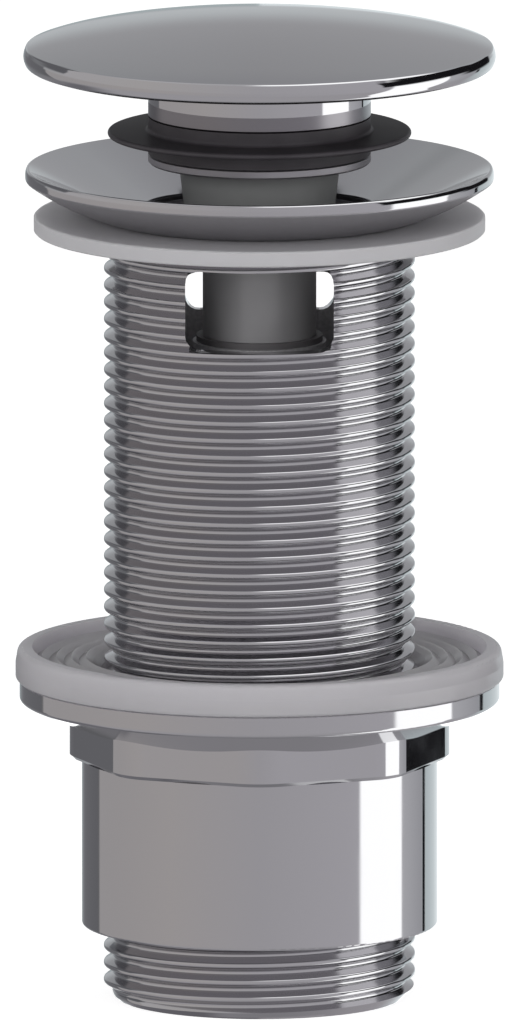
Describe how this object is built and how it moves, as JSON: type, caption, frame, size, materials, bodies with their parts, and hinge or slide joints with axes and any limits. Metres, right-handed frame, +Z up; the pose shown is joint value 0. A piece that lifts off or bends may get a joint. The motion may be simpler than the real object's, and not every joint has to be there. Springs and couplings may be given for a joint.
{
  "type": "sprung plug basin waste",
  "caption": "Push-to-open basin waste: domed plug over a dished flange, threaded tube with overflow slots, ridged washer and deep sleeve nut.",
  "frame": {"origin": "centre of the outlet end's lowest face, where the waste stands", "axes": "+Z up the tube towards the plug, -Y towards the front overflow slot, +X to the right"},
  "size_m": [0.0657, 0.0656, 0.1334],
  "materials": {
    "polished_chrome": "polished",
    "black_rubber": "moulded",
    "pale_rubber": "moulded",
    "clear_washer": "moulded translucent",
    "dark_plastic": "moulded",
    "cartridge_plastic": "moulded",
    "turned_brass": "turned",
    "bright_steel": "drawn",
    "acetal": "moulded",
    "fibre": "pressed"
  },
  "bodies": {
    "waste": {"waste_body": "polished_chrome", "flange_washer": "pale_rubber", "cartridge_housing": "cartridge_plastic", "housing_gasket": "fibre", "top_bush": "turned_brass", "bush_seal": "black_rubber", "thrust_washer": "bright_steel", "spring_plug": "turned_brass", "return_spring": "bright_steel"},
    "plug": {"plug_cap": "polished_chrome", "plug_neck": "polished_chrome", "cap_o_ring": "black_rubber", "plug_seal": "black_rubber", "seal_ring": "polished_chrome", "plug_skirt": "dark_plastic", "spindle": "bright_steel", "spindle_lock_nut": "turned_brass", "cross_pin": "bright_steel", "spring_washer": "bright_steel"},
    "index": {"index_sleeve": "acetal"},
    "clamp_washer": {"base_washer": "clear_washer"},
    "nut": {"back_nut": "polished_chrome"}
  },
  "joints": [
    {"name": "plug_press", "type": "slide", "parent": "waste", "child": "plug", "axis": [0, 0, 1], "range_m": [-0.0097, 0], "stiffness_N_per_m": 400, "springref_m": 0.012, "deforming": ["return_spring"]},
    {"name": "index_turn", "type": "hinge", "parent": "waste", "child": "index", "pos_m": [0, 0, 0.0979], "axis": [0, 0, 1], "range_deg": [-60.2, 0.2]},
    {"name": "washer_travel", "type": "slide", "parent": "waste", "child": "clamp_washer", "axis": [0, 0, 1], "range_m": [-0.00934, 0.05552]},
    {"name": "nut_turn", "type": "hinge", "parent": "clamp_washer", "child": "nut", "pos_m": [0, 0, 0.0267], "axis": [0, 0, 1], "range_deg": [-1440, 8640]}
  ],
  "couplings": [
    {"joint": "index_turn", "follows": "plug_press", "rad_per_m": 107.96},
    {"joint": "washer_travel", "follows": "nut_turn", "m_per_rad": 0.00036749}
  ]
}
